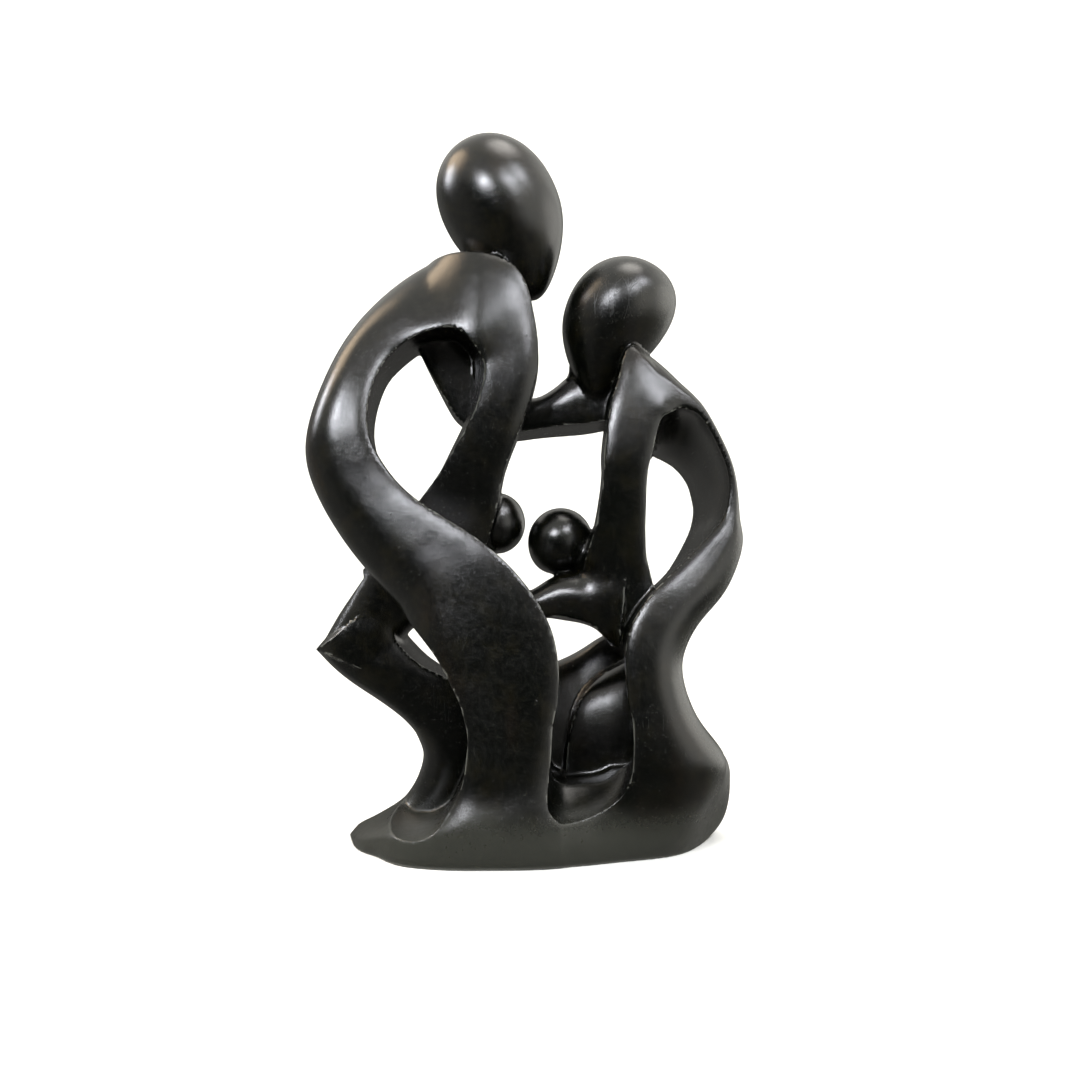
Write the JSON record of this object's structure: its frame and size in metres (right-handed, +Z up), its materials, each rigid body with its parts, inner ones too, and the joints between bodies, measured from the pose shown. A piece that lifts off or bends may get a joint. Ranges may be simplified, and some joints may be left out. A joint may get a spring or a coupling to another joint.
{
  "type": "abstract family sculpture",
  "caption": "Abstract carved stone family group: two bending figures with egg-shaped heads and looping ribbon arms around two small round heads, on a low plinth.",
  "frame": {"origin": "under the middle of the box, on the flat underside that the sculpture stands on", "axes": "+Z up; the side shown in the picture, with both loops open, faces -Y; +X runs to the viewer's right, towards the smaller of the two tall figures"},
  "size_m": [0.2898, 0.1498, 0.4825],
  "materials": {
    "dark_soapstone": "waxed and polished, with soft broad highlights"
  },
  "bodies": {
    "root": {"family_group": "dark_soapstone"}
  },
  "joints": []
}
